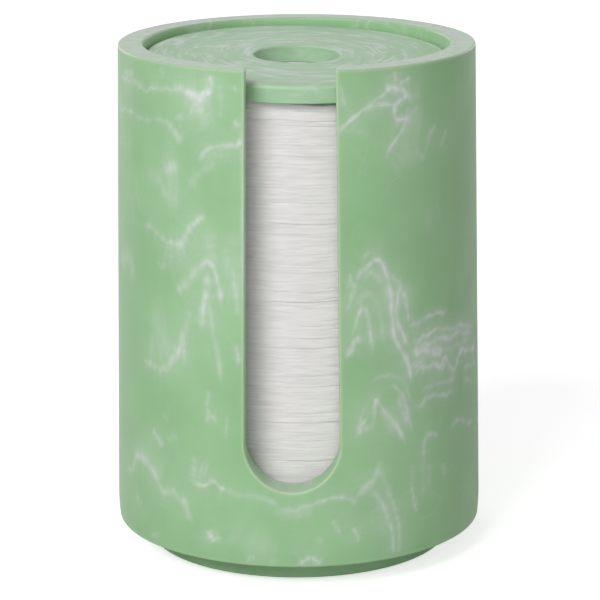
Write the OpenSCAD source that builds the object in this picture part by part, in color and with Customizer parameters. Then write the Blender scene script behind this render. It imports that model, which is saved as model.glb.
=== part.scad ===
// Cotton pad holder: a round cast-resin tube with a U-shaped viewing slot, a
// base plug it stands on, a loose weight lid and the stack of cotton pads.
// The axis of the tube is Z, the slot faces -Y, and Z = 0 is the surface the
// holder stands on.

/* [Cotton pads] */
// Diameter of one cotton pad
pad_d = 57.6; // [54:0.2:70]
// Thickness of one pad under the weight of the lid, rounded so that whole pads
// fill the holder
pad_t = 1.9; // [1.7:0.1:3]
// Air between the flat faces of two pads, and of the top pad and the lid, where
// the real fluff meets
pad_air = 0.1; // [0.05:0.01:0.3]

/* [Holder body] */
// Gap all round between the pads and the bore
pad_gap = 1.9; // [1:0.05:4]
// Wall thickness at the rim
wall = 5; // [4:0.1:8]
// How much wider the body is at its bottom edge than at the rim
body_draft = 3.4; // [0:0.1:4]
// Height of the body, from its bottom edge to the rim
body_h = 98; // [80:0.5:108]
// Rounding of the rim's two edges and of the bottom edge
edge_round = 0.4; // [0.2:0.1:1.6]

/* [Slot] */
// Width of the slot at the rim
slot_top_w = 17.1; // [14:0.1:24]
// Width of the slot where its round end starts
slot_end_w = 18.5; // [14:0.1:24]
// Height of the slot's lowest point above the bottom edge of the body
slot_sill = 15.4; // [11:0.2:30]

/* [Base plug] */
// How far the foot below the body lies in from the plug's side
foot_step = 0.05; // [0.05:0.05:4]
// Height of the foot between the body and the surface it stands on
foot_h = 5; // [3:0.1:8]
// How far the plug reaches up into the body
plug_depth = 8; // [5:0.5:10]
// Glue gap around the plug
glue_gap = 0.1; // [0.05:0.01:0.2]
// Rounding of the foot's lower edge
foot_round = 0.3; // [0.2:0.1:1.2]

/* [Anti-slip pad] */
// Width of the foot's edge around the recess of the foam disc
grip_margin = 3.45; // [2:0.05:8]
// Thickness of the foam disc
grip_t = 1.6; // [1.2:0.1:2.5]
// How far the foam disc stands out of its recess
grip_proud = 0.5; // [0.3:0.1:0.9]
// Glue gap around the foam disc
grip_gap = 0.15; // [0.05:0.05:0.3]

/* [Lid] */
// Thickness of the lid
lid_t = 3.6; // [3:0.1:6]
// Depth of the middle of the lid's top below the rim
lid_drop = 2.6; // [1:0.1:5]
// Angle that the loose lid leans forward, on the soft pads
lid_lean = 2; // [0:0.1:2.4]
// Angle that it leans to the right, seen from the slot
lid_side_lean = 1; // [0:0.1:1.2]
// Running gap between the lid's edge and the bore
lid_gap = 0.35; // [0.3:0.05:0.8]
// Diameter of the finger hole
finger_hole_d = 17.5; // [16:0.1:26]
// Rounding of the lid's outer upper edge
lid_round = 0.8; // [0.3:0.1:1.2]
// Rounding of the finger hole's upper edge
hole_round = 0.4; // [0.2:0.1:1.2]
// Rounding of the lid's lower edges
lid_under_round = 0.3; // [0.2:0.1:1.2]

/* [Hidden] */
round_fn = 96;
corner_steps = 4;
bore_d = pad_d + 2 * pad_gap;
rim_d = bore_d + 2 * wall;
body_d = rim_d + body_draft;
seat_d = bore_d - 2 * glue_gap;
foot_d = seat_d - 2 * foot_step;
recess_d = foot_d - 2 * grip_margin;
grip_d = recess_d - 2 * grip_gap;
rim_z = foot_h + body_h;
floor_z = foot_h + plug_depth;
lid_z = rim_z - lid_drop - lid_t;
stack_h = lid_z - floor_z;
pad_count = floor(stack_h / pad_t);
pad_pitch = stack_h / pad_count;

function pad_name(i) = str("cotton_pad_", i < 10 ? "0" : "", i);

// Points of a quarter circle of radius r about a centre, from one angle on
function corner(cx, cz, r, from) = [
    for (k = [0:corner_steps])
        let (a = from + 90 * k / corner_steps) [cx + r * cos(a), cz + r * sin(a)]
];

// Half section of the body's wall, with its outer face leaning in by the draft
function wall_section() = concat(
    [[bore_d / 2, foot_h]],
    corner(body_d / 2 - edge_round, foot_h + edge_round, edge_round, -90),
    corner(rim_d / 2 - edge_round, rim_z - edge_round, edge_round, 0),
    corner(bore_d / 2 + edge_round, rim_z - edge_round, edge_round, 90)
);

// Outline of the slot, seen from the front: it widens a little towards a round
// end and runs out over the rim
module slot_outline() {
    end_r = slot_end_w / 2;
    end_z = foot_h + slot_sill + end_r;
    over_z = rim_z + 1;
    translate([0, end_z]) circle(d = slot_end_w, $fn = round_fn);
    polygon([
        [-end_r, end_z],
        [end_r, end_z],
        [slot_top_w / 2, over_z],
        [-slot_top_w / 2, over_z]
    ]);
}

module holder_body() {
    color("#98BF93")
        difference() {
            rotate_extrude($fn = round_fn) polygon(wall_section());
            rotate([90, 0, 0]) linear_extrude(body_d) slot_outline();
        }
}

// Disc glued into the bottom of the tube. Its narrower lower part is the foot,
// with a recess for the foam disc underneath.
module base_plug() {
    foot_edge = corner(foot_d / 2 - foot_round, grip_proud + foot_round, foot_round, -90);
    color("#7E9F79")
        difference() {
            rotate_extrude($fn = round_fn)
                polygon(concat(
                    [[0, grip_proud]],
                    foot_edge,
                    [
                        [foot_d / 2, foot_h],
                        [seat_d / 2, foot_h],
                        [seat_d / 2, floor_z],
                        [0, floor_z]
                    ]
                ));
            cylinder(h = grip_t, d = recess_d, $fn = round_fn);
        }
}

module anti_slip_pad() {
    color("#3E4440") cylinder(h = grip_t, d = grip_d, $fn = round_fn);
}

// Puts its children on the plane of the lid's underside, which leans forward and
// to the right
module on_lid_plane() {
    translate([0, 0, lid_z]) rotate([lid_lean, lid_side_lean, 0]) children();
}

// Loose disc that lies on the pads and is lifted by the finger hole
module lid() {
    outer_r = bore_d / 2 - lid_gap;
    hole_r = finger_hole_d / 2;
    color("#A8C8AC")
        on_lid_plane()
            rotate_extrude($fn = round_fn)
                polygon(concat(
                    corner(outer_r - lid_under_round, lid_under_round, lid_under_round, -90),
                    corner(outer_r - lid_round, lid_t - lid_round, lid_round, 0),
                    corner(hole_r + hole_round, lid_t - hole_round, hole_round, 90),
                    corner(hole_r + lid_under_round, lid_under_round, lid_under_round, 180)
                ));
}

// Pad number i, counted from the bottom of the stack. The top one is squeezed to
// a slight wedge by the leaning lid.
module cotton_pad(i) {
    is_top = i == pad_count;
    pad_h = is_top ? 2 * pad_pitch : pad_pitch - pad_air;
    color("#E4E3DE")
        difference() {
            translate([0, 0, floor_z + (i - 1) * pad_pitch])
                cylinder(h = pad_h, d = pad_d, $fn = round_fn);
            if (is_top)
                on_lid_plane()
                    translate([0, 0, -pad_air])
                        cylinder(h = lid_t, d = 2 * pad_d, $fn = round_fn);
        }
}

holder_body();
base_plug();
anti_slip_pad();
lid();
for (i = [1:pad_count]) cotton_pad(i);
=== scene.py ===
# %% [markdown]
# # A cotton pad holder in marbled resin
#
# The holder is a cast resin tube with a U-shaped slot in front, a plug that closes its bottom and is
# its foot, a loose disc with a finger hole that lies on the pads as a weight, and the stack of pads.
# The solids of the CAD part are loaded first, in metres, with Z up, the slot towards -Y and the axis
# of the tube on Z. Every piece below is a mesh of its own, built where its solid is.

# %% Load the solids
import math
import bmesh
import bpy
import numpy as np
from mathutils import Matrix, Vector, noise


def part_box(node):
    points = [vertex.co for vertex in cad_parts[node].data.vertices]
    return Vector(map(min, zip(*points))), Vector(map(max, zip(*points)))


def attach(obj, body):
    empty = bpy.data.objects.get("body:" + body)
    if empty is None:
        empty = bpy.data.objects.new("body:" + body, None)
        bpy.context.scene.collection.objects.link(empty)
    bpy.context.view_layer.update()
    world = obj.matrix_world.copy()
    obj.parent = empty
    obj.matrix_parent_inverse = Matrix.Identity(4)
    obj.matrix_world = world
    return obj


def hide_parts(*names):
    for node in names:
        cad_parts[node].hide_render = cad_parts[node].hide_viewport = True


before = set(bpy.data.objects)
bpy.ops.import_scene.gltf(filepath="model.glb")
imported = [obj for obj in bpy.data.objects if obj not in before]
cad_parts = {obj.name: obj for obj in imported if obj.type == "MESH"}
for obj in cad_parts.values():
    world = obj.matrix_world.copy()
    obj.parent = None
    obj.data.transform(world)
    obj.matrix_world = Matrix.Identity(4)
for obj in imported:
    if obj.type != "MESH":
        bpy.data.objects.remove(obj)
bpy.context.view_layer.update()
MM = 0.001

# %% [markdown]
# ## Sizes from the part
#
# A mesh that lies where its solid lies starts from the same sizes. The boxes of the solids give the
# heights and the widest radius. The others are written here once, in millimetres.

# %% Sizes
low, high = (np.array(corner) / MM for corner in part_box("holder_body"))
BODY_Z, RIM_Z, BOTTOM_R = low[2], high[2], high[1]
RIM_R, BORE_R, EDGE = 35.7, 30.7, 0.4
SLOT_TOP_W, SLOT_END_W, SLOT_SILL = 17.1, 18.5, 15.4
SLOT_END_Z = BODY_Z + SLOT_SILL + SLOT_END_W / 2
FLOOR_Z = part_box("base_plug")[1][2] / MM
LID_R, LID_T, LID_DROP = 30.35, 3.6, 2.6
LID_Z = RIM_Z - LID_DROP - LID_T
LEAN_FRONT, LEAN_SIDE = math.radians(2), math.radians(1)
PAD_R, PAD_AIR = 28.8, 0.1
PADS = sorted(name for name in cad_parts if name.startswith("cotton_pad_"))
PITCH = (LID_Z - FLOOR_Z) / len(PADS)
print(f"body {BOTTOM_R * 2:.1f} mm wide, {RIM_Z:.1f} mm high, {len(PADS)} pads {PITCH:.3f} mm apart")

# %% [markdown]
# ## The camera
#
# A product photograph is taken from well back with a long lens, a little from above. The camera was
# fitted to the outline, the rim, the slot and the foot. It stands 0.56 m in front of the axis, 2
# degrees to the right, and looks 14.5 degrees down, with a quarter of a degree of roll. A matrix of
# the directions right, up and back sets all of this at once, where three angles would be hard to read.

# %% Camera
TURN, LOOK_DOWN, ROLL = math.radians(2.0), 0.2523, 0.0048
ASIDE, BACK, UP, LENS = 0.43, 558.1, BODY_Z + 188.4, 169.16
scene = bpy.context.scene
right = Vector((math.cos(TURN), math.sin(TURN), 0))
level = Vector((-math.sin(TURN), math.cos(TURN), 0))
forward = level * math.cos(LOOK_DOWN) - Vector((0, 0, math.sin(LOOK_DOWN)))
camera = bpy.data.objects.new("camera", bpy.data.cameras.new("camera"))
camera.data.sensor_width = 36
camera.data.lens = LENS
camera.data.clip_start = 0.01
scene.collection.objects.link(camera)
turn = Matrix((right, right.cross(forward), -forward)).transposed().to_4x4()
turn = turn @ Matrix.Rotation(-ROLL, 4, "Z")
place = (right * ASIDE - level * BACK + Vector((0, 0, UP))) * MM
camera.matrix_world = Matrix.Translation(place) @ turn
scene.camera = camera
print("camera at", [round(v, 4) for v in place], "lens", LENS, "mm")

# %% [markdown]
# ## Meshes from rows of points
#
# All the pieces are grids of points joined by four-sided faces. One helper makes an object from them,
# joins the points that lie in one place, so that a grid that closes on itself has no seam, and turns
# on smooth shading. It also hangs the piece on an empty for the body it rides on, and hides the solid
# it replaces.

# %% Mesh helpers
SAME_PLACE = 2e-7  # metres


def make_piece(name, points, faces, body, replaced, slot):
    mesh = bpy.data.meshes.new(name)
    mesh.from_pydata([tuple(p) for p in np.asarray(points) * MM], [], faces)
    work = bmesh.new()
    work.from_mesh(mesh)
    bmesh.ops.remove_doubles(work, verts=work.verts, dist=SAME_PLACE)
    bmesh.ops.delete(work, geom=[v for v in work.verts if not v.link_faces], context="VERTS")
    bmesh.ops.recalc_face_normals(work, faces=work.faces)
    open_edges = sum(1 for e in work.edges if len(e.link_faces) != 2)
    work.to_mesh(mesh)
    work.free()
    mesh.shade_smooth()
    piece = bpy.data.objects.new(name, mesh)
    scene.collection.objects.link(piece)
    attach(piece, body)
    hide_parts(replaced)
    print(f"{name}: {len(mesh.vertices)} points, {len(mesh.polygons)} faces, {open_edges} open edges")
    return piece


def grid_faces(rows, columns, closed=False, start=0):
    wrap = columns if closed else columns - 1
    return [
        (start + i * columns + j, start + i * columns + (j + 1) % columns,
         start + (i + 1) * columns + (j + 1) % columns, start + (i + 1) * columns + j)
        for i in range(rows - 1) for j in range(wrap)
    ]


print("a grid of 3 by 4 points has", len(grid_faces(3, 4)), "faces")

# %% [markdown]
# ## The body
#
# The real body is poured into a mould as a liquid resin, so its walls are 5 mm thick and it has some
# draft: it is 3.4 mm narrower at the rim, and it draws in a little over the lowest 5 mm. All its
# edges are sanded to a rounding of only 0.4 mm. A Boolean and a Bevel modifier could cut the slot, but
# they leave long thin triangles on the curved wall that shade badly. Instead, the wall is laid out as
# a sheet. Its rows run round the tube from one side of the slot to the other, and below the slot they
# close.
#
# The outside has cells 0.45 mm wide in front, because the veins are stored on its points. A row 0.08
# mm from each rounding keeps the smooth shading of the rounding from spreading over the wall.

# %% Rows and columns of the wall
FINE, COARSE, BESIDE = 0.45, 1.0, 0.08
FRONT = 76.0  # degrees to each side of the slot that get the fine columns
END_STEPS = 30  # rows along the round end of the slot
DRAWN_IN, LOWEST = 0.32, 5


def outer_r(z):
    drawn_in = DRAWN_IN * max(0.0, 1 - (z - BODY_Z) / LOWEST) ** 2
    return BOTTOM_R + (RIM_R - BOTTOM_R) * (z - BODY_Z) / (RIM_Z - BODY_Z) - drawn_in


def slot_half(z):
    share = (z - SLOT_END_Z) / (RIM_Z + 1 - SLOT_END_Z)
    return (SLOT_END_W + (SLOT_TOP_W - SLOT_END_W) * share) / 2


def spread(first, last, step):
    return list(np.linspace(first, last, max(2, round(abs(last - first) / step) + 1)))


end_r = SLOT_END_W / 2 + EDGE
end_angles = [math.pi / 2 * k / END_STEPS for k in range(END_STEPS + 1)]
rows = [BODY_Z + EDGE] + spread(BODY_Z + EDGE + BESIDE, SLOT_END_Z - end_r, FINE)[:-1]
end_row = len(rows)
rows += [SLOT_END_Z - end_r * math.cos(a) for a in end_angles]
rows += spread(SLOT_END_Z, RIM_Z - EDGE - BESIDE, FINE)[1:] + [RIM_Z - EDGE]
top_row = len(rows) - 1
edge_x = [0.0] * end_row + [end_r * math.sin(a) for a in end_angles]
edge_x += [slot_half(z) + EDGE for z in rows[len(edge_x):]]
side = [0.0] + spread(math.degrees(BESIDE / RIM_R), FRONT, math.degrees(FINE / BOTTOM_R))
half = side + spread(FRONT, 180.0, math.degrees(COARSE / BOTTOM_R))[1:]
share = np.array(half + [360 - d for d in reversed(half[:-1])]) / 360
columns = len(share)
print("body rows", len(rows), "columns", columns)


def wall_point(row, column, r, z):
    """A point of the wall at radius r. Next to the slot it keeps its distance from the middle."""
    start = math.asin(edge_x[row] / outer_r(rows[row]))
    angle = start + (2 * math.pi - 2 * start) * share[column]
    angle += (math.asin(edge_x[row] / r) - start) * (1 - 2 * share[column])
    return (r * math.sin(angle), -r * math.cos(angle), z)


# %% [markdown]
# ## The rounded strip round the opening
#
# A strip runs once round the rim and the slot and joins the outside to the inside. Its section is a
# rounding, the flat and a rounding, and in the two upper corners it turns in three small steps. So
# there is no seam and no odd face where the rim meets the slot.

# %% Grids of the body
quarter = [math.pi / 2 * k / 4 for k in range(5)]
points, faces = [], []
thick = RIM_R - BORE_R
arc = [(EDGE * math.sin(a), EDGE * (1 - math.cos(a))) for a in quarter]
flat = [(EDGE, d) for d in (EDGE + BESIDE, thick / 2, thick - EDGE - BESIDE)]
# how far towards the opening, and what share of the wall's depth, from outside to inside
section = [(o, d / thick) for o, d in arc + flat + [(o, thick - d) for o, d in reversed(arc)]]


def rim_point(column, o, depth):
    z = rows[top_row] + o
    return wall_point(top_row, column, outer_r(z) + (BORE_R - outer_r(z)) * depth, z)


def slot_point(sign, x, z, to_x, to_z, o, depth):
    x, z = x + to_x * o, z + to_z * o
    r = outer_r(z) + (BORE_R - outer_r(z)) * depth
    return (sign * x, -math.sqrt(r * r - x * x), z)


def add_grid(grid, closed=False):
    start = len(points)
    for line in grid:
        points.extend(line)
    faces.extend(grid_faces(len(grid), len(grid[0]), closed, start))


add_grid([[wall_point(i, j, outer_r(z), z) for j in range(columns)] for i, z in enumerate(rows)])

# one side of the slot from the rim's corner down to the lowest point, with the way to the opening
corner = [math.radians(deg) for deg in (60, 30, 0)]
down = [(edge_x[top_row], rows[top_row], -math.cos(a), math.sin(a)) for a in corner]
for i in range(top_row - 1, end_row - 1, -1):
    lean = min(1.0, max(0.0, (SLOT_END_Z - rows[i]) / end_r))
    down.append((edge_x[i], rows[i], -math.sqrt(1 - lean * lean), lean))
strip = [[rim_point(j, o, d) for o, d in section] for j in range(columns)]
strip += [[slot_point(-1, *spot, o, d) for o, d in section] for spot in down]
strip += [[slot_point(1, *spot, o, d) for o, d in section] for spot in reversed(down[:-1])]
add_grid([list(line) for line in zip(*strip)], closed=True)

# the bottom edge, then the flat ring round the plug
low_r = outer_r(rows[0]) - EDGE
bottom = [(low_r + EDGE * math.cos(a), BODY_Z + EDGE * (1 - math.sin(a))) for a in quarter]
bottom += [(low_r - BESIDE, BODY_Z), (BORE_R + 1.5, BODY_Z), (BORE_R, BODY_Z)]
add_grid([[wall_point(0, j, r, z) for j in range(columns)] for r, z in bottom])
print("outside, strip and bottom:", len(faces), "faces")

# %% [markdown]
# ## The inside of the tube
#
# The inside is seen little, so its cells are four times as large. A cell along the border takes up
# all the points of the finer strip beside it, as a face with many sides, so that the shell is closed.

# %% Inside of the body
LARGER = 4  # how many times as large the cells are
inner_rows = sorted(set(range(0, len(rows), LARGER)) | {end_row, top_row - 1, top_row})
inner_columns = sorted(set(range(0, columns, LARGER)) | {1, columns - 2, columns - 1})
inner_start = len(points)
for i, z in enumerate([BODY_Z] + rows[1:]):
    points.extend(wall_point(i, j, BORE_R, z) for j in range(columns))


def inner(i, j):
    return inner_start + i * columns + j


for ia, ib in zip(inner_rows, inner_rows[1:]):
    for ja, jb in zip(inner_columns, inner_columns[1:]):
        cell = [inner(ia, j) for j in (range(ja, jb + 1) if ia == 0 else (ja, jb))]
        if jb == columns - 1 and ia >= end_row:
            cell += [inner(i, jb) for i in range(ia + 1, ib)]
        cell += [inner(ib, j) for j in (range(jb, ja - 1, -1) if ib == top_row else (jb, ja))]
        if ja == 0 and ia >= end_row:
            cell += [inner(i, ja) for i in range(ib - 1, ia, -1)]
        faces.append(tuple(cell))
body = make_piece("cast_body", points, faces, "holder", "holder_body", "marbled_resin")

# %% [markdown]
# ## The lid
#
# The lid is a disc, 3.6 mm thick, that lies loose on the soft pads. A turned piece is a half section
# spun round the axis, as on a lathe. Blender has the Screw modifier for it, and a few lines of code
# give the same grid. Every long straight part of the section gets a point 0.08 mm from each of its
# ends, so that the roundings stay crisp. The disc leans 2 degrees forward and 1 degree to the right,
# so it is spun about its own axis first and tilted afterwards.

# %% Lid
def rounded(cr, cz, r, first_deg, steps=6):
    angles = [math.radians(first_deg + 90 * k / steps) for k in range(steps + 1)]
    return [(cr + r * math.cos(a), cz + r * math.sin(a)) for a in angles]


def turned(half_section, segments, closed=False):
    outline = []
    ends = half_section[1:] + [half_section[0]] * closed
    for (ra, za), (rb, zb) in zip(half_section, ends):
        outline.append((ra, za))
        long = math.hypot(rb - ra, zb - za)
        if long > 5 * BESIDE:
            near_ends = (BESIDE / long, 1 - BESIDE / long)
            outline += [(ra + (rb - ra) * t, za + (zb - za) * t) for t in near_ends]
    outline.append(half_section[0] if closed else half_section[-1])
    angles = [2 * math.pi * k / segments for k in range(segments)]
    spun = [(r * math.cos(a), r * math.sin(a), z) for r, z in outline for a in angles]
    return spun, grid_faces(len(outline), segments, closed=True)


HOLE_R, HOLE_EDGE, LID_EDGE, UNDER_EDGE = 8.75, 0.4, 0.8, 0.3
ROUND = 240  # points all round a turned piece
lid_section = rounded(LID_R - UNDER_EDGE, UNDER_EDGE, UNDER_EDGE, -90, 4)
lid_section += rounded(LID_R - LID_EDGE, LID_T - LID_EDGE, LID_EDGE, 0)
lid_section += rounded(HOLE_R + HOLE_EDGE, LID_T - HOLE_EDGE, HOLE_EDGE, 90)
lid_section += rounded(HOLE_R + UNDER_EDGE, UNDER_EDGE, UNDER_EDGE, 180, 4)
lid_points, lid_faces = turned(lid_section, ROUND, closed=True)
tilt = Matrix.Rotation(LEAN_SIDE, 4, "Y") @ Matrix.Rotation(LEAN_FRONT, 4, "X")
tilt = Matrix.Translation((0, 0, LID_Z)) @ tilt
lid_points = [tilt @ Vector(p) for p in lid_points]
lid = make_piece("weight_lid", lid_points, lid_faces, "lid", "lid", "lid_resin")

# %% [markdown]
# ## The plug and the foam disc
#
# A disc of the same resin is glued into the bottom of the tube. Its lower part shows as the foot, a
# little darker than the body because it stands in the shade. The foam disc sits in a recess under the
# foot and stands out of it by half a millimetre, so that the holder doesn't slide. Both are turned
# pieces too.

# %% Plug and foam disc
FOOT_R, SEAT_R, RECESS_R, FOOT_LOW, PLUG_EDGE, BROKEN = 30.55, 30.6, 27.1, 0.5, 0.3, 0.1
FOAM_R, FOAM_T, FOAM_LOW_EDGE, FOAM_TOP_EDGE = 26.95, 1.6, 0.35, 0.2
plug_section = [(0, FOAM_T), (RECESS_R, FOAM_T), (RECESS_R, FOOT_LOW + BROKEN)]
plug_section += [(RECESS_R + BROKEN, FOOT_LOW)]
plug_section += rounded(FOOT_R - PLUG_EDGE, FOOT_LOW + PLUG_EDGE, PLUG_EDGE, -90, 4)
plug_section += [(FOOT_R, BODY_Z), (SEAT_R, BODY_Z + SEAT_R - FOOT_R)]
plug_section += rounded(SEAT_R - PLUG_EDGE, FLOOR_Z - PLUG_EDGE, PLUG_EDGE, 0, 4) + [(0, FLOOR_Z)]
plug = make_piece("foot_plug", *turned(plug_section, ROUND), "holder", "base_plug", "foot_resin")
foam_section = [(0, 0)] + rounded(FOAM_R - FOAM_LOW_EDGE, FOAM_LOW_EDGE, FOAM_LOW_EDGE, -90, 4)
foam_section += rounded(FOAM_R - FOAM_TOP_EDGE, FOAM_T - FOAM_TOP_EDGE, FOAM_TOP_EDGE, 0, 4)
foam_section += [(0, FOAM_T)]
foam = make_piece("foam_disc", *turned(foam_section, 160), "holder", "anti_slip_pad", "foam")

# %% [markdown]
# ## The cotton pads
#
# A cotton pad is a round of loose fibre pressed to about 2 mm. In the stack, the weight of the lid
# pushes the pads together, so the joint between two of them is a thin line that wanders up and down,
# opens to a dark groove in some places and closes in others. The side of a pad has folds of the same
# kind, so that the joints hardly stand out. Each pad is its own soft mesh, and neighbours share the
# line between them. It is a sum of slow waves round the edge that drift from one joint to the next. A
# cloth simulation would press the pads flat and lose these lines, so their points are moved by
# formula, with a fixed seed.

# %% Waves round the edge of the pads
random = np.random.default_rng(7)
SEGMENTS = 300
angle = np.linspace(0, 2 * np.pi, SEGMENTS, endpoint=False)
joints = len(PADS) + 1


def drifting_waves(orders, sizes, drift):
    """One curve round the edge for each joint, changing a little from joint to joint."""
    curves = np.zeros((joints, SEGMENTS))
    for order, size in zip(orders, sizes):
        phase = np.cumsum(random.normal(0, drift, joints)) + random.uniform(0, 2 * np.pi)
        height = 0.6 + 0.4 * np.sin(np.cumsum(random.normal(0, 0.5, joints)))
        curves += size * height[:, None] * np.cos(order * angle[None, :] + phase[:, None])
    return curves


def opening(middle, uneven):
    """How far a groove is open round the edge: 0 closed, 1 wide open."""
    orders = [2, 5, 9, 14, 20, 27, 35, 44]
    waves = drifting_waves(orders, [0.1, 0.12, 0.16, 0.16, 0.16, 0.14, 0.12, 0.1], 1.8)
    return np.clip(middle + waves + random.normal(0, uneven, joints)[:, None], 0.02, 1.0)


wander = drifting_waves(
    [2, 3, 5, 7, 9, 12, 15, 19, 24, 31, 40],
    [0.06, 0.06, 0.07, 0.07, 0.06, 0.05, 0.04, 0.03, 0.022, 0.015, 0.01], 0.35)
wander += np.clip(random.normal(0, 0.2, joints), -0.35, 0.35)[:, None]
wander[[0, -1]] = 0
joint_open = opening(0.02, 0.3)
FOLDS = 4
fold_open = [opening(0.0, 0.28) for _ in range(FOLDS)]
fold_shift = [
    drifting_waves([2, 4, 7, 11], [0.02, 0.02, 0.02, 0.015], 1.5) for _ in range(FOLDS)]
bulge = drifting_waves([1, 3, 6, 11, 17, 26, 37], [0.05, 0.05, 0.05, 0.04, 0.03, 0.025, 0.02], 0.8)
print(f"grooves: {joint_open.mean():.2f} open at the joints, {fold_open[0].mean():.2f} at a fold")

# %% [markdown]
# ## Each pad from its two joints
#
# A pad lies between two joints. Its underside and its top are rings of points that follow those two
# lines at the edge and flatten towards the middle. Its side is drawn in at both joints and at four
# folds. The lid leans, so the five uppermost joints turn little by little to its lean, and the pads
# hang away from it at the right of the slot, where the photograph shows a gap. In the lid's finger
# hole nothing presses on the top pad, so it swells there by 0.4 mm.

# %% Pads
RINGS = [0.0, 0.26, 0.29, 0.31, 0.6, 0.85, 0.95]
SWELL, SAG, GAP_SAG, GAP_DEG, GAP_WIDTH = 0.4, 0.12, 0.6, 283, 0.21
JOINT_DEPTH, JOINT_REACH, FOLD_DEPTH, FOLD_REACH = 0.15, 0.07, 0.11, 0.045
PRESSED = 0.12  # how much less than its nominal radius a pad measures
side_steps = [0, 0.02, 0.05] + list(np.linspace(0.09, 0.91, 20)) + [0.95, 0.98, 1]
follow = np.zeros(joints)
follow[-5:] = [0.06, 0.15, 0.3, 0.55, 1]


def joint_height(k, r, under):
    """Height of joint k at radius r: the top of the pad under it, or the underside of the next."""
    out = r / PAD_R
    gap = PAD_AIR / 2 - (PAD_AIR / 2 - 0.01) * out ** 8
    z = FLOOR_Z + PITCH * k + wander[k] * out ** 3 + (-gap if under else gap)
    if k == 0:
        return FLOOR_Z + gap
    # the top pads follow the leaning lid and hang away from it, most at the right of the slot
    slope = -r * np.cos(angle) * math.tan(LEAN_SIDE) + r * np.sin(angle) * math.tan(LEAN_FRONT)
    sag = (SAG + GAP_SAG * np.exp(-((angle - math.radians(GAP_DEG)) / GAP_WIDTH) ** 2)) * out ** 4
    z = z + follow[k] * (slope - sag)
    if k < joints - 1:
        return z
    return z - PAD_AIR / 2 + SWELL * np.clip((HOLE_R - 0.15 - r) / 0.9, 0, 1)


def cotton_pad(i, name):
    centre = random.normal(0, 0.05, 2)
    grow = random.normal(0, 0.05) - PRESSED
    spots = np.sort(random.uniform(0.14, 0.86, FOLDS))
    round_edge = np.full(SEGMENTS, PAD_R)
    low_z, high_z = joint_height(i, round_edge, False), joint_height(i + 1, round_edge, True)
    lines = [(ring * round_edge, joint_height(i, ring * round_edge, False)) for ring in RINGS]
    for t in side_steps:
        inset = joint_open[i] * math.exp(-t / JOINT_REACH)
        inset = JOINT_DEPTH * (inset + joint_open[i + 1] * math.exp(-(1 - t) / JOINT_REACH))
        for fold in range(FOLDS):
            away = (t - spots[fold] - fold_shift[fold][i]) / FOLD_REACH
            inset = inset + FOLD_DEPTH * fold_open[fold][i] * np.exp(-away ** 2)
        side_r = PAD_R + grow + bulge[i] * math.sin(math.pi * t) - inset
        lines.append((side_r, low_z + (high_z - low_z) * t))
    lines += [(ring * round_edge, joint_height(i + 1, ring * round_edge, True)) for ring in RINGS[::-1]]
    cloud = [
        (r * math.cos(a) + centre[0] * (r > 0), r * math.sin(a) + centre[1] * (r > 0), z)
        for rs, zs in lines for r, a, z in zip(rs, angle, zs)
    ]
    body_name = "top_pad" if i == len(PADS) - 1 else "pad_stack"
    sides = grid_faces(len(lines), SEGMENTS, closed=True)
    pad = make_piece("pad_" + name[-2:], cloud, sides, body_name, name, "cotton")
    return pad


pads = [cotton_pad(i, name) for i, name in enumerate(PADS)]

# %% [markdown]
# ## Veins on the body
#
# The marbling comes from white pigment that is stirred into the green resin once or twice before it
# is poured. It is drawn out into thin threads with a soft cloud beside them: arches and hanging folds
# where the resin ran down the mould, and level bands where it came to rest. A noise texture alone
# gives threads everywhere and no folds. So the large folds in front are laid down as strokes along
# smooth paths on the unrolled wall, each with a width and a strength, and their sum is stored on the
# points of the mesh. The finer threads come from noise in the material.

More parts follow.
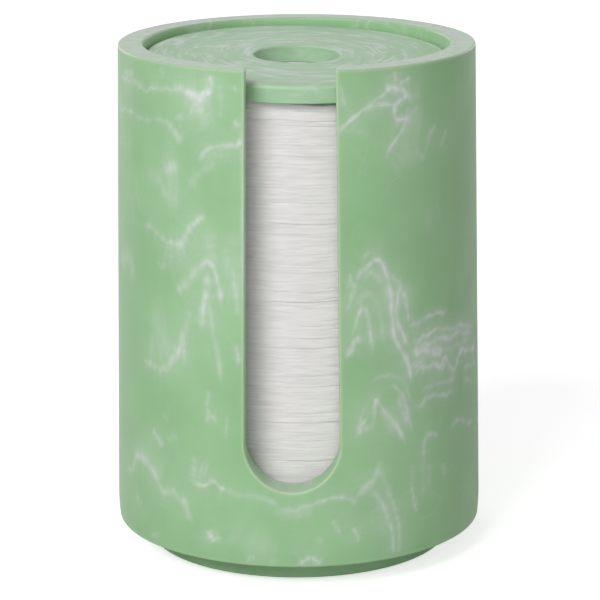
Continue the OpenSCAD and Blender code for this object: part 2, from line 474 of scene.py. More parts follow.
# %% Strokes
# strength, half width in mm, then for each point its degrees round from the slot and its height in mm
STROKES = [
    # upper left: a white arm under the rim, and a thinner one below it
    (0.42, 0.45, -76, 97.2, -70, 97.5, -65, 97.7, -60, 97.9, -56, 97.4,
     -52.3, 96.6, -49, 97.5, -45, 98.1, -41, 97.9, -37, 98.2),
    (0.35, 0.7, -68, 98.9, -60, 99.5),
    (0.5, 0.8, -39.5, 98.4, -36, 98.7, -34, 97.9),
    (0.97, 0.6, -35, 98.2, -33, 97.8, -31, 97.7, -28.5, 97.6, -26.5, 98.2, -25, 98.4),
    (0.85, 0.5, -33, 97.6, -30.5, 97, -28.5, 96.8, -27, 97.8),
    (0.55, 0.5, -25.4, 98, -24.8, 99.6, -25.4, 101.8),
    (0.35, 0.8, -31, 96.3, -29.3, 95.3, -27.5, 94.2),
    (0.22, 1.7, -33, 95.5, -29, 94, -26, 91.5),
    (0.22, 0.6, -45, 102, -43, 100.4),
    (0.4, 0.35, -17.6, 99, -16.9, 99.9),
    (0.18, 0.5, -22, 100.5, -21.5, 97, -21.8, 93.5),
    (0.45, 0.32, -77, 90.7, -71, 91.2, -65.6, 91.6, -60, 91.6),
    (0.28, 0.4, -60, 91.6, -53.4, 90.9, -48, 91.8, -42.4, 91.4, -40, 90.7),
    (0.4, 0.8, -41.5, 91.2, -39, 90.2, -37, 88.9, -36.3, 88.1),
    (0.35, 0.4, -38.5, 92.7, -36.8, 93.1, -35.2, 92.6),
    # arch that reaches the slot, with a run of white down the slot's edge
    (0.55, 0.5, -29.2, 85.2, -27.4, 86.8, -24.6, 87.9, -20.2, 88.3,
     -16.9, 88.3, -15.3, 89.3, -14.9, 91.8),
    (0.5, 0.5, -17.4, 93.4, -15.3, 92.4),
    (0.2, 1.1, -27, 86, -23, 86.6, -19, 86.4),
    (0.32, 0.35, -14.9, 89, -14.9, 80, -14.8, 71, -14.8, 62),
    (0.16, 1.5, -18, 72, -17, 64, -16.5, 58),
    # soft patch with a fold below it
    (0.5, 1.4, -43.5, 82.3, -40.5, 82.8, -37, 83.1),
    (0.22, 1.3, -52, 81, -47, 80.2, -43.5, 78, -39.6, 76.3, -34.6, 78),
    (0.22, 0.9, -33, 79, -30.5, 81.5, -27.5, 83.6, -23, 84.8),
    (0.16, 3, -42, 79.5, -37, 79.5),
    # hanging fold
    (0.3, 0.6, -54, 70.4, -49, 70, -44.6, 68.7, -40, 67.9),
    (0.52, 0.8, -41.5, 68, -38.5, 67.9, -36, 68.5, -34, 70.4),
    (0.62, 0.6, -34.5, 70, -32.8, 71.5, -31.3, 72.6, -29.5, 73.6, -27, 73.7),
    (0.18, 2.4, -44, 66.5, -39, 66, -35, 67.5),
    # arch with a bright core
    (0.22, 1.5, -26, 72.5, -25.5, 68.5, -24.5, 65.5),
    (0.38, 1, -38.5, 58.5, -36, 59.6, -33.5, 61.1, -30.2, 63.6, -26.8, 65.4),
    (0.66, 0.45, -28.5, 64.6, -26.8, 65.4, -24.6, 64.9, -23.2, 62.5, -22.3, 60, -21.9, 57),
    (0.62, 0.8, -26, 63.2, -26.9, 60, -27.5, 57.5, -28.4, 54.5, -28.8, 52),
    (0.35, 0.5, -26, 57.5, -24.9, 53, -23.6, 49, -22.6, 45, -21.7, 41),
    (0.35, 0.4, -17.8, 65, -17.1, 60.5, -16.2, 55.4),
    (0.2, 0.8, -20.4, 69, -19.6, 62.5),
    (0.28, 1.6, -76, 60, -71, 61, -67, 61.8, -64.5, 63, -63, 60.5, -60, 59.6),
    (0.2, 0.6, -47, 63.2, -42.5, 63),
    # large haze with a bright lower edge
    (0.25, 0.7, -33, 55.5, -34, 52.5, -35, 50),
    (0.5, 0.8, -36, 51.9, -36, 49.5, -37.4, 46.9, -39.6, 44.9, -42.4, 42.8, -44.6, 42),
    (0.36, 0.7, -44, 42, -49, 42.2, -54.5, 42.7),
    (0.45, 0.4, -35.2, 49.7, -35.3, 46.5, -35.2, 43.9),
    (0.2, 2.8, -52, 46.5, -46, 46.5, -40, 49),
    (0.16, 2.5, -50, 51, -42, 52.5),
    (0.5, 0.45, -17.2, 49.6, -16.6, 47.5, -16.6, 45.5),
    # small marks
    (0.34, 0.5, -26.2, 40, -26.8, 36.9, -26.3, 34.9, -27.6, 33),
    (0.34, 0.4, -26, 34.8, -24.5, 34.7, -23.9, 33.6),
    (0.24, 0.4, -20, 35, -20.4, 31),
    (0.48, 0.4, -49.5, 28.9, -47, 28, -44, 26.4),
    (0.2, 0.8, -44.5, 33.2, -42, 32.1),
    (0.18, 0.7, -41.8, 27.6, -40.6, 28.7, -38, 29),
    # lower left: a wide wave with haze above it
    (0.36, 0.6, -68, 17.3, -65, 18, -62.5, 18.7, -60.6, 21),
    (0.52, 0.85, -61, 20.4, -59.5, 21.8, -57, 22.2, -53.4, 21.8, -49, 20.2, -46.5, 18.5),
    (0.42, 0.75, -47, 19, -44.6, 17, -42, 17.3, -40, 17.7,
     -37.5, 16.6, -35.7, 16, -34, 14, -32.6, 12.4),
    (0.2, 1.8, -60, 23, -52, 22.6, -45, 19.5),
    (0.26, 0.5, -59.5, 14.3, -57.9, 12.7, -55.6, 13),
    (0.3, 0.8, -31.3, 25.6, -32, 23, -32.2, 20.6),
    (0.56, 0.45, -32, 20.4, -29, 20.7, -26.8, 20.8, -24.9, 21.6, -22.5, 20.5, -20.5, 20.1),
    (0.26, 1.9, -29.5, 23.8, -27, 23),
    (0.66, 0.6, -26.6, 11.6, -25.6, 9.7, -24.4, 9),
    (0.3, 0.5, -24.5, 9.5, -22.2, 9.8),
    (0.32, 0.4, -51, 7, -46.5, 7.7),
    (0.14, 3.2, -20, 13, -12, 10, -4, 9),
    (0.3, 0.7, -14, 6.6, -11.5, 6.4),
    (0.26, 0.6, -7, 6.3, -5, 6),
    # line below the slot
    (0.22, 0.6, -21, 20.1, -15, 19.5, -9.8, 19.5),
    (0.34, 0.5, -10.5, 19.6, -7, 18.9, -4.4, 17.4, 0, 16.9, 4.3, 17.5, 7.8, 18.4),
    (0.5, 0.42, 6.5, 18.1, 9.5, 18.9, 12, 19.2, 15, 19.1, 16.3, 18.2),
    (0.4, 0.4, 16, 18.3, 17.8, 18.7, 19, 18, 20.1, 19.3, 22.4, 20, 23.2, 21.3, 25.6, 22.1),
    (0.16, 0.9, -6, 16.4, 1, 15.7, 7, 16.6),
    (0.35, 0.35, 12, 14.6, 13.4, 13.3, 14.5, 11.5),
    (0.5, 0.35, 18.3, 12.9, 19.4, 11.4, 20.2, 9.4),
    (0.26, 0.4, 7, 10.8, 9.4, 10.2),
    (0.85, 0.3, 1.7, 5.9, 3.6, 6.6, 5.7, 6.8, 7.5, 6.6, 8.7, 5.8),
    # upper right: a knot with two loops
    (0.72, 0.38, 14.4, 91, 16.6, 92.4, 20, 93.9, 22.7, 95.2, 26, 95.8, 29.4, 96, 33.5, 95.5),
    (0.5, 0.32, 22.7, 95.3, 26.6, 97, 29.9, 98.2, 31.2, 99.3, 33.8, 99.4),
    (0.97, 0.6, 30.2, 98.3, 32, 99, 34, 98.7, 36, 98.2, 37.3, 97.3, 36.6, 96.3),
    (0.85, 0.45, 36.8, 96.6, 34.6, 96, 33.3, 95.3, 33.3, 93.9, 34.9, 92.7, 37.6, 92.6, 37, 91.7),
    (0.66, 0.36, 37.4, 92.2, 36, 90.5, 33.8, 88.9, 31.6, 87.2, 29.4, 85.2),
    (0.6, 0.42, 33.2, 101.7, 33.9, 100.2),
    (0.62, 0.4, 34.8, 99.4, 36.5, 99.9, 39, 100.2),
    (0.26, 0.5, 38, 96.3, 40.5, 96.8, 43, 96.6),
    (0.24, 0.5, 38.2, 93.2, 40.6, 93.6, 42, 95),
    (0.2, 2.2, 32, 82.8, 37, 85, 42, 88),
    (0.32, 0.8, 41, 86, 43.5, 85, 45, 84.2),
    (0.38, 0.6, 45.4, 86.1, 47, 88.3, 48.8, 90, 50.6, 89.8),
    (0.34, 0.5, 52, 86.2, 54, 87.5, 55.6, 89.3),
    (0.18, 3.2, 36, 92, 44, 91),
    (0.22, 0.35, 16, 91.3, 21, 91.2, 25, 90.2),
    (0.34, 0.36, 15.4, 100.5, 15.8, 98, 16.8, 95.8),
    (0.14, 2, 44, 71.5, 52, 73.5),
    # right: nested arches that run down into level bands
    (0.3, 0.4, 21.8, 66.2, 23.2, 67.5, 24, 66.7),
    (0.55, 0.5, 20.3, 62.5, 21.6, 63.9, 23.4, 64.7, 25.5, 65.8),
    (0.95, 0.42, 24.8, 65.5, 26, 66, 27.6, 65.6, 29.4, 63.9,
     30.6, 61.4, 31.1, 59.6, 31.7, 56.8, 32.2, 52.5),
    (0.95, 0.45, 32.1, 54, 32.4, 51, 33.3, 48.9, 35, 47.4, 37, 45.2, 38.4, 43, 38.9, 40.6),
    (0.32, 0.7, 22.5, 62.3, 24.4, 63.5, 27.7, 62.3, 29.7, 59.6, 30.6, 56.1),
    (0.42, 0.4, 31.2, 62.5, 33, 61.6, 34.9, 60.5),
    (0.82, 0.42, 34.9, 60.5, 34, 58.4, 33.7, 55.4, 34, 52.8, 35.2, 51, 36.9, 48.9, 38.6, 47.4),
    (0.62, 0.38, 34.7, 60.5, 36, 58.6, 37.1, 56.4, 37.8, 54.2, 38, 52.5),
    (0.4, 0.5, 16.8, 60.7, 18.3, 61.6, 19.3, 60.4, 17.8, 58, 17, 56.5),
    (0.4, 0.32, 17.8, 63.5, 18.2, 61.6),
    (0.62, 0.4, 18.7, 51.8, 20.3, 54.6, 21.6, 56.6, 22.9, 56.3, 23.9, 53.9, 24.6, 50.5, 25, 47.5),
    (0.24, 0.6, 20.5, 56.6, 21.6, 59, 23.8, 59.4, 26.6, 57, 28.3, 53.2, 28.8, 49.5),
    (0.62, 0.55, 16.8, 47.3, 18.2, 49, 19.5, 50.6, 21.8, 50.4),
    (0.6, 0.42, 38, 51.7, 41, 52, 44, 52.2, 47, 52.9, 52, 53, 56.5, 52.3),
    (0.72, 0.42, 39.5, 48.5, 43, 48.7, 46.5, 49.3, 51, 49.8,
     55.4, 49.1, 60, 48.6, 64, 48.9, 69, 47.6, 76, 46.7),
    (0.82, 0.5, 41, 47.4, 46, 47.3, 51, 47.8, 55.4, 47.2, 60, 47.2, 63, 47.6, 67.6, 46.5, 75, 45.5),
    (0.9, 1, 39.2, 46.3, 42.5, 46.4, 46.5, 45.9, 50, 45.3, 53.5, 44.9),
    (0.5, 0.6, 39.2, 44.3, 41, 43.6, 44, 44.6),
    (0.35, 0.5, 54, 45.3, 59, 44.9, 65, 45.2, 71, 44.4),
    (0.82, 0.5, 40.5, 41.9, 43, 43, 46, 42.8, 49.9, 42.6,
     51.5, 41.8, 53.7, 43.3, 55.5, 42.2, 58.5, 40.4, 61, 40.9),
    (0.88, 0.6, 60, 40.6, 62, 42.2, 64.3, 43.6, 67.6, 42.9, 73.7, 42.2, 79, 41.5),
    (0.6, 0.7, 52.5, 42.6, 53.8, 41.5),
    (0.4, 0.4, 43.2, 37.9, 46, 38.5, 50, 38.8, 56.5, 38.4, 61, 38.9),
    (0.62, 0.42, 40.2, 35.5, 43.2, 35.6, 45.4, 36.5, 49.9, 36.4, 54.3, 35.9, 60, 36.2),
    (0.42, 0.42, 65, 40, 73, 39.1, 79, 38.6),
    (0.4, 0.5, 65.4, 37.7, 69, 36.6, 74.5, 35.2),
    # lower right: two arches, hooks and threads that run down
    (0.72, 0.4, 25.2, 33.5, 25.8, 36.8, 26.2, 38, 27.7, 36.9,
     29.9, 35, 32.1, 33, 34.9, 30.4, 36.3, 28.3),
    (0.28, 0.9, 28.5, 35, 31, 33, 33, 31),
    (0.66, 0.5, 21, 31.7, 21.4, 33.9, 22.6, 33.6),
    (0.42, 0.4, 22.2, 33.2, 23.5, 32.3, 25, 33.1),
    (0.56, 0.4, 31, 40.4, 33.8, 39.6, 36, 37.2, 37.5, 34, 38.9, 30.6),
    (0.55, 0.32, 33.5, 37.8, 35.4, 35, 37.4, 32.2),
    (0.28, 0.36, 24, 41.8, 28, 42.6, 33, 42.3, 36.6, 40.3, 38.6, 36.5),
    (0.22, 0.36, 19.5, 30.5, 21, 34.5, 23.5, 38),
    (0.58, 0.42, 43.8, 24.6, 43.9, 27, 45.3, 28.8, 48.2, 28.7, 51, 27.8),
    (0.24, 0.45, 43.8, 25, 43.6, 21, 43.6, 16.5),
    (0.46, 0.45, 56.5, 28.2, 59.8, 29.4, 64.3, 29.1, 68.7, 27.9, 75, 26.7),
    (0.36, 0.6, 51.8, 22, 53.2, 20.7, 53.6, 19.2),
    (0.26, 0.5, 45.6, 23, 46.4, 20.5, 45.6, 18),
    (0.52, 0.32, 38.9, 19.4, 39.8, 16, 41, 13.8),
    (0.3, 0.35, 39, 24, 38.8, 19.4),
    (0.45, 0.5, 20.6, 20, 22.2, 20.9, 23.8, 20.5, 25.4, 22, 26.6, 23.4, 27.3, 25),
    (0.44, 0.55, 24.2, 20.3, 26.6, 18.4, 28.8, 15.6, 29.9, 13.9, 30.8, 11.9),
    (0.6, 0.26, 30.7, 12.4, 31.5, 9.5, 31.6, 5.8),
    (0.4, 0.4, 29.6, 19.5, 31.6, 16.9, 33.2, 14),
    (0.55, 0.26, 33, 14.2, 33.8, 11.1, 34.2, 5.8),
    (0.24, 0.45, 27, 25.5, 28.5, 22, 31, 19),
    (0.14, 2.6, 26, 17, 29, 10),
]
print(len(STROKES), "strokes")

# %% [markdown]
# ## From strokes to an attribute
#
# Each stroke is a smooth curve through its points. A point of the wall takes on the stroke's white by
# its distance from that curve: a narrow bell for the thread itself, and a wide weak one for the cloud.
# The cloud has ripples 1.1 mm apart, which are the flow lines beside a thread. The point is first
# pushed about by noise, mostly up and down, so that the threads are ragged and drip. An attribute on
# the mesh keeps the result with the piece, where an image would have to be painted. The photo does not
# show the back, so the same folds are laid there again, mirrored on one side and upside down on the
# other.

# %% Lay the veins
def pairs(numbers):
    return np.reshape(numbers, (-1, 2))


def smooth_path(numbers, per_part=10):
    """Points along a smooth curve through the given ones, in mm on the unrolled wall."""
    p = np.array([(math.radians(d) * BOTTOM_R, z) for d, z in pairs(numbers)])
    p = np.vstack([2 * p[0] - p[1], p, 2 * p[-1] - p[-2]])
    path = []
    for a, b, c, d in zip(p, p[1:], p[2:], p[3:]):
        for t in np.linspace(0, 1, per_part, endpoint=False):
            bend, twist = 2 * a - 5 * b + 4 * c - d, 3 * b - a - 3 * c + d
            path.append(0.5 * (2 * b + (c - a) * t + bend * t ** 2 + twist * t ** 3))
    return np.array(path + [p[-2]])


def round_the_back(side, turn, shift, flip, lift):
    """The strokes of one side of the slot, weaker and laid again further round the wall."""
    return [
        (strength * 0.75, width, *(pairs(numbers) * (turn, flip) + (shift, lift)).flat)
        for strength, width, *numbers in STROKES if all(pairs(numbers)[:, 0] * side > 12)
    ]


noise.seed_set(7)  # without a seed, or with 0, noise_vector takes one from the clock in each run
REACH = 7  # mm from a stroke beyond which its cloud is not looked for
BEHIND = round_the_back(-1, -1, 72, 1, 0) + round_the_back(1, 1, -166, -1, 108.5)


def lay_veins(piece):
    """Store how white each point is, and return the points' coordinates in mm."""
    flat = np.empty(len(piece.data.vertices) * 3)
    piece.data.vertices.foreach_get("co", flat)
    x, y, z = flat.reshape(-1, 3).T / MM
    spot = np.stack([np.arctan2(x, -y) * BOTTOM_R, z], axis=1)
    # waves 3.2 and 1.1 mm long move a point by up to 0.28 mm, and drips 1.4 mm wide by 0.5 mm
    wobble = np.array([noise.noise_vector((a / 3.2, b / 3.2, 0.0))[:2] for a, b in spot])
    wobble += 0.4 * np.array([noise.noise_vector((a / 1.1, b / 1.1, 5.0))[:2] for a, b in spot])
    spot = spot + 0.28 * wobble
    spot[:, 1] += 0.5 * np.array([noise.noise((a / 1.4, b / 6, 9.0)) for a, b in spot])
    clear = np.ones(len(spot))
    for strength, width, *numbers in STROKES + BEHIND:
        path = smooth_path(numbers)
        near = (spot > path.min(axis=0) - REACH) & (spot < path.max(axis=0) + REACH)
        near = np.all(near, axis=1)
        some = spot[near]
        gap, along = np.full(len(some), 1e9), np.zeros(len(some))
        for k, (a, b) in enumerate(zip(path, path[1:])):
            ab = b - a
            t = np.clip(((some - a) @ ab) / max(ab @ ab, 1e-9), 0, 1)
            d = np.linalg.norm(some - a - t[:, None] * ab, axis=1)
            closer = d < gap
            gap[closer] = d[closer]
            along[closer] = (k + t[closer]) / (len(path) - 1)
        taper = np.clip(np.minimum(along, 1 - along) * 6 + 0.25, 0, 1)
        pulse = 0.78 + 0.3 * np.sin(along * 17 + width * 40) * np.sin(along * 7.3 + strength * 60)
        thread = 0.9 * np.exp(-(gap / (width * (0.68 + 0.25 * taper))) ** 2)
        ripples = 0.8 + 0.2 * np.cos(2 * np.pi * gap / 1.1 + 9 * along + 30 * strength)
        cloud = 0.5 * ripples * np.exp(-gap / (2.4 * width + 0.8))
        clear[near] *= 1 - np.clip(strength * taper * pulse * (thread + cloud), 0, 0.97)
    veins = piece.data.attributes.new("veins", "FLOAT", "POINT")
    veins.data.foreach_set("value", (1 - clear).astype(np.float32))
    print(f"veins: most {1 - clear.min():.2f}, mean {1 - clear.mean():.3f}")
    return x, y, z


x, y, z = lay_veins(body)

# %% [markdown]
# ## Painted highlights on the edges
#
# Along the edges of the slot, the rim and the bottom, a thin, paler, more yellow line is painted as the
# highlight of their small roundings. Its strength is a bell across the edge, 0.45 mm wide at the slot
# and 0.3 mm at the rim and the bottom, stored on the points as a second attribute.

# %% Edge attribute
to_end = np.hypot(x, z - SLOT_END_Z) - SLOT_END_W / 2
to_side = np.abs(x) - np.array([slot_half(v) for v in z])
from_slot = np.where(z < SLOT_END_Z, to_end, to_side)
outside = (y < 0) & (np.hypot(x, y) > BORE_R + 3.5)
# painted highlight along the outer edge of the slot, and a weaker one at the rim and the bottom edge
edge_highlight = np.exp(-((from_slot - 0.2) / 0.45) ** 2) * outside
for level in (RIM_Z - 0.3, BODY_Z + 0.35):
    edge_highlight = np.maximum(edge_highlight, 0.5 * np.exp(-((z - level) / 0.3) ** 2) * (np.hypot(x, y) > RIM_R - 0.6))
edges = body.data.attributes.new("edges", "FLOAT", "POINT")
edges.data.foreach_set("value", edge_highlight.astype(np.float32))
print("points on the highlighted edges:", int((edge_highlight > 0.5).sum()))

# %% [markdown]
# ## Colours and one helper for nodes
#
# A node material is a small program, and in a script it is easiest to follow when every node is made
# by the same short call. `add` makes a node, sets its settings, and fills its sockets, by name or by
# number, with a value or with the output of another node. Colours are written as sRGB hex values, and
# one function turns them to the linear numbers of the shader.

# %% Material helpers
EASED = {"interpolation_type": "SMOOTHSTEP"}  # for a Map Range that starts and ends softly


def linear(code):
    values = [int(code[k:k + 2], 16) / 255 for k in (1, 3, 5)]
    return [v / 12.92 if v <= 0.04045 else ((v + 0.055) / 1.055) ** 2.4 for v in values] + [1.0]


def add(tree, kind, sockets, out=0, **settings):
    """Add the node "ShaderNode" + kind and return its output `out`, given by number or name."""
    made = tree.nodes.new("ShaderNode" + kind)
    for key, value in settings.items():
        setattr(made, key, value)
    for key, value in sockets.items():
        if isinstance(value, bpy.types.NodeSocket):
            tree.links.new(value, made.inputs[key])
        else:
            made.inputs[key].default_value = value
    return made.outputs[out] if made.outputs else made


def new_tree(owner):
    owner.use_nodes = True
    owner.node_tree.nodes.clear()
    return owner.node_tree


def millimetres(tree):
    """The place on the piece, in mm, so that every pattern is drawn at its real size."""
    here = add(tree, "TexCoord", {}, "Object")
    return add(tree, "VectorMath", {0: here, "Scale": 1 / MM}, operation="SCALE")


print("hex #808080 is", round(linear("#808080")[0], 3), "in linear light")

# %% [markdown]
# ## Threads in the resin
#
# A thread shows where a noise passes its middle value, because that place is a thin line. The point
# where the noise is read is first pushed about by a larger noise, as stirring does, and by a finer
# one. A second, slow noise shows the threads only in some patches. Each thread also has a weak wide
# band beside it, for the haze of pigment round it.

# %% Threads
MIDDLE = 0.5  # the middle value of a noise


def threads(tree, place, size, push, width, seed, stretch):
    """A thread about every `size` mm, pushed about by `push` mm, `width` wide in noise units."""
    shifted = add(tree, "VectorMath", {0: place, 1: (seed, seed * 0.7, -seed)}, operation="ADD")
    moved = place
    for scale, rough, reach in ((0.35 / size, 0.5, push * 2), (1.6 / size, 0.6, push * 0.35)):
        stir = {"Vector": shifted, "Scale": scale, "Detail": 2.0, "Roughness": rough}
        stir = add(tree, "TexNoise", stir, "Color")
        stir = add(tree, "VectorMath", {0: stir, 1: (MIDDLE,) * 3}, operation="SUBTRACT")
        stir = add(tree, "VectorMath", {0: stir, "Scale": reach}, operation="SCALE")
        moved = add(tree, "VectorMath", {0: moved, 1: stir}, operation="ADD")
    moved = add(tree, "VectorMath", {0: moved, 1: stretch}, operation="MULTIPLY")
    pattern = {"Vector": moved, "Scale": 1 / size, "Detail": 1.5, "Roughness": 0.45}
    pattern = add(tree, "TexNoise", pattern)
    off = add(tree, "Math", {0: pattern, 1: MIDDLE}, operation="SUBTRACT")
    off = add(tree, "Math", {0: off}, operation="ABSOLUTE")
    thin = add(tree, "MapRange", {0: off, 1: 0.0, 2: width, 3: 1.0, 4: 0.0}, **EASED)
    haze = add(tree, "MapRange", {0: off, 1: 0.0, 2: width * 5, 3: 0.35, 4: 0.0}, **EASED)
    line = add(tree, "Math", {0: thin, 1: haze}, operation="MAXIMUM")
    patch = add(tree, "TexNoise", {"Vector": shifted, "Scale": 0.45 / size, "Detail": 1.0})
    shown = add(tree, "MapRange", {0: patch, 1: 0.46, 2: 0.66}, **EASED)
    return add(tree, "Math", {0: line, 1: shown}, operation="MULTIPLY")


print("a thread is drawn where a noise passes", MIDDLE)

# %% [markdown]
# ## Marbled casting resin
#
# The body, the lid and the foot are a casting resin filled with stone powder: pale green, fine and
# nearly matt, as it comes out of a silicone mould. That gives the eye an even colour without grain, a
# soft wide highlight and no sharp reflection. The IOR is 1.5, as for most resins, and a little sheen
# stands for the open powder grains, which turn the outline pale and grey. The faces that look up get
# a painted sheen: their colour is painted paler and greyer, and they are a little rougher. They are
# found by the direction of the surface, which turns with the rounding, so that the painted sheen ends
# softly at the edge.

# %% Resin
ROUGHNESS = 0.5


def cast_resin(name, base, deep, vein, top_sheen, thread_share, stretch, streaks=0.0, own_veins=False):
    """`top_sheen` gives how strongly the faces that look up are painted paler, as painted sheen, below
    the rim and at the rim.
    """
    material = bpy.data.materials.new(name)
    tree = new_tree(material)
    place = millimetres(tree)
    # clouds of tone about 14 mm wide
    clouds = {"Vector": place, "Scale": 1 / 14, "Detail": 3.0, "Roughness": 0.55}
    clouds = add(tree, "TexNoise", clouds)
    clouds = add(tree, "MapRange", {0: clouds, 1: 0.3, 2: 0.7}, **EASED)
    ground = add(tree, "Mix", {0: clouds, 6: linear(deep), 7: linear(base)}, 2, data_type="RGBA")
    # 1 on a flat face that looks up, 0 on an upright one
    facing = add(tree, "NewGeometry", {}, "Normal")
    facing = add(tree, "SeparateXYZ", {0: facing}, "Z")
    up_facing = add(tree, "MapRange", {0: facing, 1: 0.75, 2: 0.98}, **EASED)
    # white: wide and fine threads, streaks, and the strokes laid on the body
    wide = threads(tree, place, 11, 9, 0.012, 3.0, stretch)
    fine = threads(tree, place, 5, 5, 0.014, 41.0, stretch)
    fine = add(tree, "Math", {0: fine, 1: 0.6}, operation="MULTIPLY")
    white = add(tree, "Math", {0: wide, 1: fine}, operation="MAXIMUM")
    white = add(tree, "Math", {0: white, 1: thread_share}, operation="MULTIPLY")
    if streaks:
        # the lid was poured in its middle, so its streaks lie in rings, about 2 mm apart and 10 mm
        # long, and they show most on the face that looks up
        ring = add(tree, "VectorMath", {0: place, 1: (1, 1, 0)}, operation="MULTIPLY")
        ring = add(tree, "VectorMath", {0: ring}, "Value", operation="LENGTH")
        ring = add(tree, "CombineXYZ", {"Z": ring})
        drawn = {0: place, 1: (0.2, 0.28, 1), 2: ring}
        drawn = add(tree, "VectorMath", drawn, operation="MULTIPLY_ADD")
        drawn = {"Vector": drawn, "Scale": 1 / 2.2, "Detail": 4.0, "Roughness": 0.65, "Distortion": 0.9}
        drawn = add(tree, "TexNoise", drawn)
        drawn = add(tree, "MapRange", {0: drawn, 1: 0.46, 2: 0.66, 3: 0.0, 4: streaks}, **EASED)
        shown = add(tree, "MapRange", {0: up_facing, 3: 0.35, 4: 1.0})
        drawn = add(tree, "Math", {0: drawn, 1: shown}, operation="MULTIPLY")
        white = add(tree, "Math", {0: white, 1: drawn}, operation="MAXIMUM")
    if own_veins:
        strokes = add(tree, "Attribute", {}, "Fac", attribute_name="veins")
        uneven = {"Vector": place, "Scale": 1 / 1.1, "Detail": 3.0, "Roughness": 0.6}
        uneven = add(tree, "TexNoise", uneven)
        uneven = add(tree, "MapRange", {0: uneven, 1: 0.25, 2: 0.75, 3: 0.8, 4: 1.15})
        strokes = add(tree, "Math", {0: strokes, 1: uneven}, operation="MULTIPLY", use_clamp=True)
        # the noise threads are weak in front and stronger at the back, where the strokes are weaker
        behind = add(tree, "SeparateXYZ", {0: place}, "Y")
        behind = {0: behind, 1: -6.0, 2: 10.0, 3: 1.0, 4: 0.6 / thread_share}
        behind = add(tree, "MapRange", behind)
        white = add(tree, "Math", {0: white, 1: behind}, operation="MULTIPLY")
        white = add(tree, "Math", {0: white, 1: strokes}, operation="MAXIMUM")
    # painted sheen: the faces that look up are painted paler, mottled in patches of 2.5 mm
    level = add(tree, "SeparateXYZ", {0: place}, "Z")
    level = add(tree, "MapRange", {0: level, 1: RIM_Z - 3, 2: RIM_Z - 1, 3: top_sheen[0], 4: top_sheen[1]})
    mottle = {"Vector": place, "Scale": 1 / 2.5, "Detail": 4.0, "Roughness": 0.65}
    mottle = add(tree, "TexNoise", mottle)
    mottle = add(tree, "MapRange", {0: mottle, 1: 0.35, 2: 0.65, 3: 0.65, 4: 1.3})
    level = add(tree, "Math", {0: level, 1: mottle}, operation="MULTIPLY")
    painted_sheen = add(tree, "Math", {0: up_facing, 1: level}, operation="MULTIPLY")
    colour = add(tree, "Mix", {0: painted_sheen, 6: ground, 7: linear("#CBD1CD")}, 2, data_type="RGBA")
    if own_veins:
        # painted highlight: a pale yellow line along the edges of the body
        edge_highlight = add(tree, "Attribute", {}, "Fac", attribute_name="edges")
        edge_highlight = add(tree, "Math", {0: edge_highlight, 1: 0.38}, operation="MULTIPLY")
        colour = add(tree, "Mix", {0: edge_highlight, 6: colour, 7: linear("#B8CAA4")}, 2, data_type="RGBA")
    colour = add(tree, "Mix", {0: white, 6: colour, 7: linear(vein)}, 2, data_type="RGBA")
    # the grain of the stone powder is far too fine to show, so it is drawn 0.5 mm wide and very low
    grain = add(tree, "TexNoise", {"Vector": place, "Scale": 1 / 0.5, "Detail": 2.0})
    dull = {0: grain, 1: 0.3, 2: 0.7, 3: ROUGHNESS - 0.03, 4: ROUGHNESS + 0.04}
    dull = add(tree, "MapRange", dull)
    duller = add(tree, "Math", {0: up_facing, 1: 0.12, 2: dull}, operation="MULTIPLY_ADD")
    bump = add(tree, "Bump", {"Strength": 0.05, "Distance": 0.02 * MM, "Height": grain})
    shader = add(tree, "BsdfPrincipled", {
        "Base Color": colour, "Roughness": duller, "Normal": bump, "IOR": 1.5,
        "Sheen Weight": 0.2, "Sheen Roughness": 0.4})
    add(tree, "OutputMaterial", {"Surface": shader})
    return material


body.data.materials.append(cast_resin(
    "cast_resin_with_marbling", "#90B98A", "#88B282", "#CBD2CD", top_sheen=(0.3, 0.6),
    thread_share=0.1, stretch=(1, 1, 0.8), own_veins=True))
# painted sheen: the lid's colours are paler and greyer than the body's, for the sheen its top shows at
# a grazing angle
lid.data.materials.append(cast_resin(
    "cast_resin_of_the_lid", "#A1C2A0", "#97BB96", "#CED5D1", top_sheen=(0.05, 0.05),
    thread_share=0.5, stretch=(0.5, 1.4, 1), streaks=0.75))
# painted light: the foot's colours are a little lighter than the body's, to lift the shade it stands in
plug.data.materials.append(cast_resin(
    "cast_resin_of_the_foot", "#98C092", "#8EB888", "#A9BDA5", top_sheen=(0, 0),
    thread_share=0.35, stretch=(1, 1, 1)))
print("resin on", [piece.name for piece in (body, lid, plug)])

# %% [markdown]
# ## Cotton felt
#
# Cotton pads are bleached cotton that is carded into thin webs, laid in layers and needled into a
# felt. The cut edge shows the layers as fine level lines, about 0.4 mm apart, and a little fluff.
# Fibres scatter the light, so there is hardly any gloss. A high diffuse roughness keeps the stack
# nearly as bright where it turns away from the lamp, as on wool, and the sheen is the loose fluff at
# its outline. The fibres are 0.02 mm thick, too fine to show, so the fluff is drawn 0.45 mm wide.

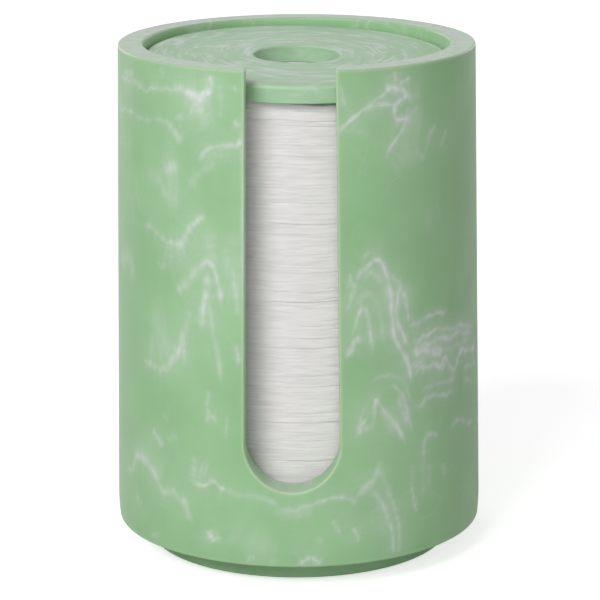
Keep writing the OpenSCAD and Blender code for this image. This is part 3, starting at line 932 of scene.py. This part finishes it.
# %% Cotton
material = bpy.data.materials.new("needled_cotton_felt")
tree = new_tree(material)
place = millimetres(tree)
webs = add(tree, "VectorMath", {0: place, 1: (1 / 6, 1 / 6, 1 / 0.42)}, operation="MULTIPLY")
webs = add(tree, "TexNoise", {"Vector": webs, "Scale": 1.0, "Detail": 3.0, "Roughness": 0.6})
fluff = add(tree, "TexNoise", {"Vector": place, "Scale": 1 / 0.45, "Detail": 4.0, "Roughness": 0.65})
tone = add(tree, "MapRange", {0: webs, 1: 0.32, 2: 0.62}, **EASED)
colour = add(tree, "Mix", {0: tone, 6: linear("#DCD9D9"), 7: linear("#E6E3E3")}, 2, data_type="RGBA")
height = add(tree, "Math", {0: fluff, 1: 0.7, 2: webs}, operation="MULTIPLY_ADD")
bump = add(tree, "Bump", {"Strength": 0.3, "Distance": 0.08 * MM, "Height": height})
shader = add(tree, "BsdfPrincipled", {
    "Base Color": colour, "Normal": bump, "Roughness": 0.95, "Diffuse Roughness": 1.0, "IOR": 1.45,
    "Specular IOR Level": 0.2, "Sheen Weight": 0.15, "Sheen Roughness": 0.6})
add(tree, "OutputMaterial", {"Surface": shader})
for pad in pads:
    pad.data.materials.append(material)
print("cotton on", len(pads), "pads")

# %% [markdown]
# ## Closed-cell foam
#
# The anti-slip disc is EVA foam, sliced from a block: dark grey, matt, with cut cells that show as
# tiny pits. A Voronoi pattern has the same shape as packed bubbles. The real cells are about 0.2 mm
# wide and are drawn at 0.6 mm, so that they show at all.

# %% Foam
material = bpy.data.materials.new("closed_cell_eva_foam")
tree = new_tree(material)
cells = add(tree, "TexVoronoi", {"Vector": millimetres(tree), "Scale": 1 / 0.6}, "Distance")
tone = add(tree, "MapRange", {0: cells, 1: 0.0, 2: 0.6})
colour = add(tree, "Mix", {0: tone, 6: linear("#2E3230"), 7: linear("#454A46")}, 2, data_type="RGBA")
bump = add(tree, "Bump", {"Strength": 0.6, "Distance": 0.1 * MM, "Height": cells})
shader = {"Base Color": colour, "Normal": bump, "Roughness": 0.85, "IOR": 1.5}
shader = add(tree, "BsdfPrincipled", shader)
add(tree, "OutputMaterial", {"Surface": shader})
foam.data.materials.append(material)
print("foam on", foam.name)

# %% [markdown]
# ## White surroundings
#
# The photograph is a product shot on pure white. The camera and the gloss on the resin see a white
# world, while its light on the object is kept low, so that the lamps give it its shape. The Light
# Path node tells the two apart.

# %% World
AMBIENT = 0.22
scene.view_settings.view_transform = "Standard"
scene.world = bpy.data.worlds.new("white_surroundings")
tree = new_tree(scene.world)
direct = add(tree, "LightPath", {}, "Is Camera Ray")
for ray in ("Is Transmission Ray", "Is Glossy Ray"):
    seen = add(tree, "LightPath", {}, ray)
    direct = add(tree, "Math", {0: direct, 1: seen}, operation="MAXIMUM")
strength = add(tree, "Math", {0: direct, 1: 1 - AMBIENT, 2: AMBIENT}, operation="MULTIPLY_ADD")
white = add(tree, "Background", {"Color": (1, 1, 1, 1), "Strength": strength})
add(tree, "OutputWorld", {"Surface": white})
print("world: white, and", AMBIENT, "as light on the object")

# %% [markdown]
# ## The floor
#
# The floor is a plain pale sheet that takes the object's shadow. The camera sees it lifted to white by
# a little light of its own, which no other ray sees, so that the lamps can stay at a level where a
# colour renders as it is written.

# %% Floor
FLOOR = -0.02 * MM  # just below the foam disc, so that the two faces do not share one plane
REFLECTS, OWN_LIGHT = 0.7, 0.68
floor_mesh = bpy.data.meshes.new("floor")
corners = [(x, y, FLOOR) for x, y in ((-4, -4), (4, -4), (4, 4), (-4, 4))]
floor_mesh.from_pydata(corners, [], [(0, 1, 2, 3)])
floor = bpy.data.objects.new("floor", floor_mesh)
scene.collection.objects.link(floor)
material = bpy.data.materials.new("white_paper")
tree = new_tree(material)
lift = add(tree, "LightPath", {}, "Is Camera Ray")
lift = add(tree, "Math", {0: lift, 1: OWN_LIGHT}, operation="MULTIPLY")
matt = add(tree, "BsdfDiffuse", {"Color": (REFLECTS, REFLECTS, REFLECTS, 1)})
glow = add(tree, "Emission", {"Color": (1, 1, 1, 1), "Strength": lift})
both = add(tree, "AddShader", {0: matt, 1: glow})
add(tree, "OutputMaterial", {"Surface": both})
floor_mesh.materials.append(material)
print("floor:", floor.dimensions.x, "m wide")

# %% [markdown]
# ## The lamps
#
# Large round soft boxes give the soft shading of a studio. The key stands in front on the left, so
# the left half of the body is the brighter one and the slot's left side shades the pads. A weak fill
# stands near the camera, so that it reaches all the pads in the slot, and a weaker one at the right
# keeps the dark side from falling to black. Two small ones behind brighten the outline and the back.

# %% Lamps
TARGET = Vector((0, 0, 0.055))  # the middle of the holder


def soft_box(name, away, around, height, size, power):
    """A round lamp, `around` degrees from the slot towards +X and `height` degrees up."""
    a, e = math.radians(around), math.radians(height)
    way = Vector((math.sin(a) * math.cos(e), -math.cos(a) * math.cos(e), math.sin(e)))
    lamp = bpy.data.objects.new(name, bpy.data.lights.new(name, "AREA"))
    lamp.data.shape = "DISK"
    lamp.data.size = size
    lamp.data.energy = power
    lamp.location = TARGET + away * way
    lamp.rotation_euler = (TARGET - lamp.location).to_track_quat("-Z", "Y").to_euler()
    lamp.visible_camera = False
    scene.collection.objects.link(lamp)
    print(name, "at", [round(v, 2) for v in lamp.location], power, "W")


for lamp in [
    ("key", 1.25, -29, 38, 0.65, 10.7),
    ("fill", 1.2, -2, 20, 0.6, 2.5),
    ("side", 1.2, 60, 15, 0.6, 0.9),
    ("behind_left", 1.2, -140, 12, 0.5, 3.2),
    ("behind_right", 1.2, 145, 12, 0.5, 2.4),
]:
    soft_box(*lamp)
